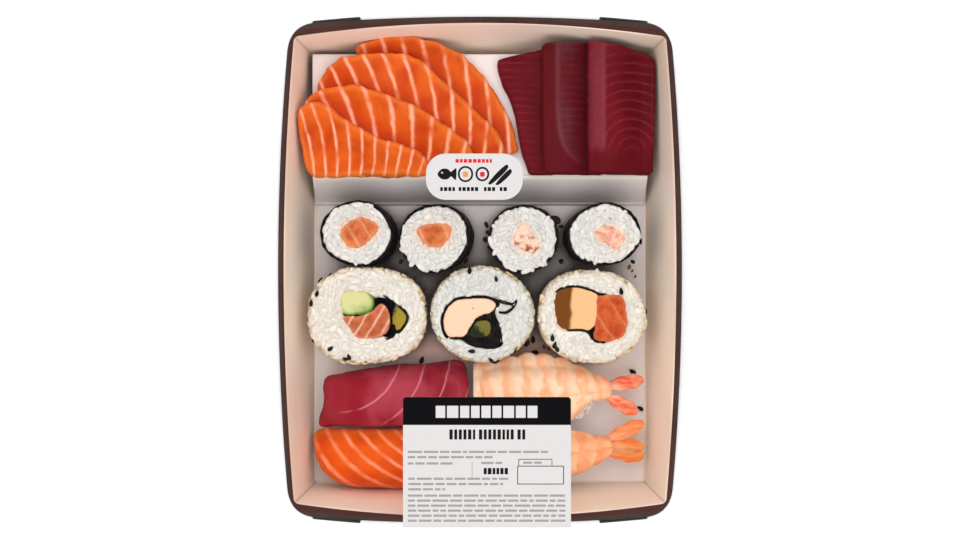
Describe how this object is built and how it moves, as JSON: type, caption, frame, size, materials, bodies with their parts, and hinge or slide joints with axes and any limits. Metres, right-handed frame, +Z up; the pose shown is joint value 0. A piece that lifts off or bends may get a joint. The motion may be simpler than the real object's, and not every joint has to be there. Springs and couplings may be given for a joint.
{
  "type": "takeaway sushi tray",
  "caption": "Paperboard tray of sashimi, rolls and nigiri on a stepped card insert, under a clear lid with plain labels.",
  "frame": {"origin": "centre of the whole at the height of the surface that the tray stands on", "axes": "+Z up, +Y along the tray's length towards the raised platform at the back, +X to the right seen from the front label"},
  "size_m": [0.1552, 0.1948, 0.0437],
  "materials": {
    "board": "matte, dark at the rim",
    "card": "satin",
    "clear": "clear film, glossy",
    "label": "satin",
    "salmon": "moist flesh",
    "tuna": "moist flesh",
    "nigiri_tuna": "moist flesh",
    "rice": "grainy",
    "nori": "dull, papery",
    "shrimp": "moist flesh",
    "cucumber": "moist",
    "cream": "smooth",
    "leaf": "moist",
    "omelette": "satin"
  },
  "bodies": {
    "root": {"tray": "board", "insert": "card", "lid": "clear", "lid_badge": "label", "front_label": "label", "salmon_slice_1": "salmon", "salmon_slice_2": "salmon", "salmon_slice_3": "salmon", "salmon_slice_4": "salmon", "tuna_slice_1": "tuna", "tuna_slice_2": "tuna", "tuna_slice_3": "tuna", "hosomaki_1_nori": "nori", "hosomaki_1_rice": "rice", "hosomaki_1_salmon": "salmon", "hosomaki_2_nori": "nori", "hosomaki_2_rice": "rice", "hosomaki_2_salmon": "salmon", "hosomaki_3_nori": "nori", "hosomaki_3_rice": "rice", "hosomaki_3_shrimp": "shrimp", "hosomaki_4_nori": "nori", "hosomaki_4_rice": "rice", "hosomaki_4_shrimp": "shrimp", "uramaki_1_rice": "rice", "uramaki_1_nori": "nori", "uramaki_1_cucumber": "cucumber", "uramaki_1_salmon": "salmon", "uramaki_1_leaf": "leaf", "uramaki_2_rice": "rice", "uramaki_2_nori": "nori", "uramaki_2_cream": "cream", "uramaki_2_leaf": "leaf", "uramaki_3_rice": "rice", "uramaki_3_nori": "nori", "uramaki_3_omelette": "omelette", "uramaki_3_salmon": "salmon", "nigiri_tuna_rice": "rice", "nigiri_tuna_slice": "nigiri_tuna", "nigiri_salmon_rice": "rice", "nigiri_salmon_slice": "salmon", "nigiri_shrimp_1_rice": "rice", "nigiri_shrimp_1_body": "shrimp", "nigiri_shrimp_2_rice": "rice", "nigiri_shrimp_2_body": "shrimp"}
  },
  "joints": []
}
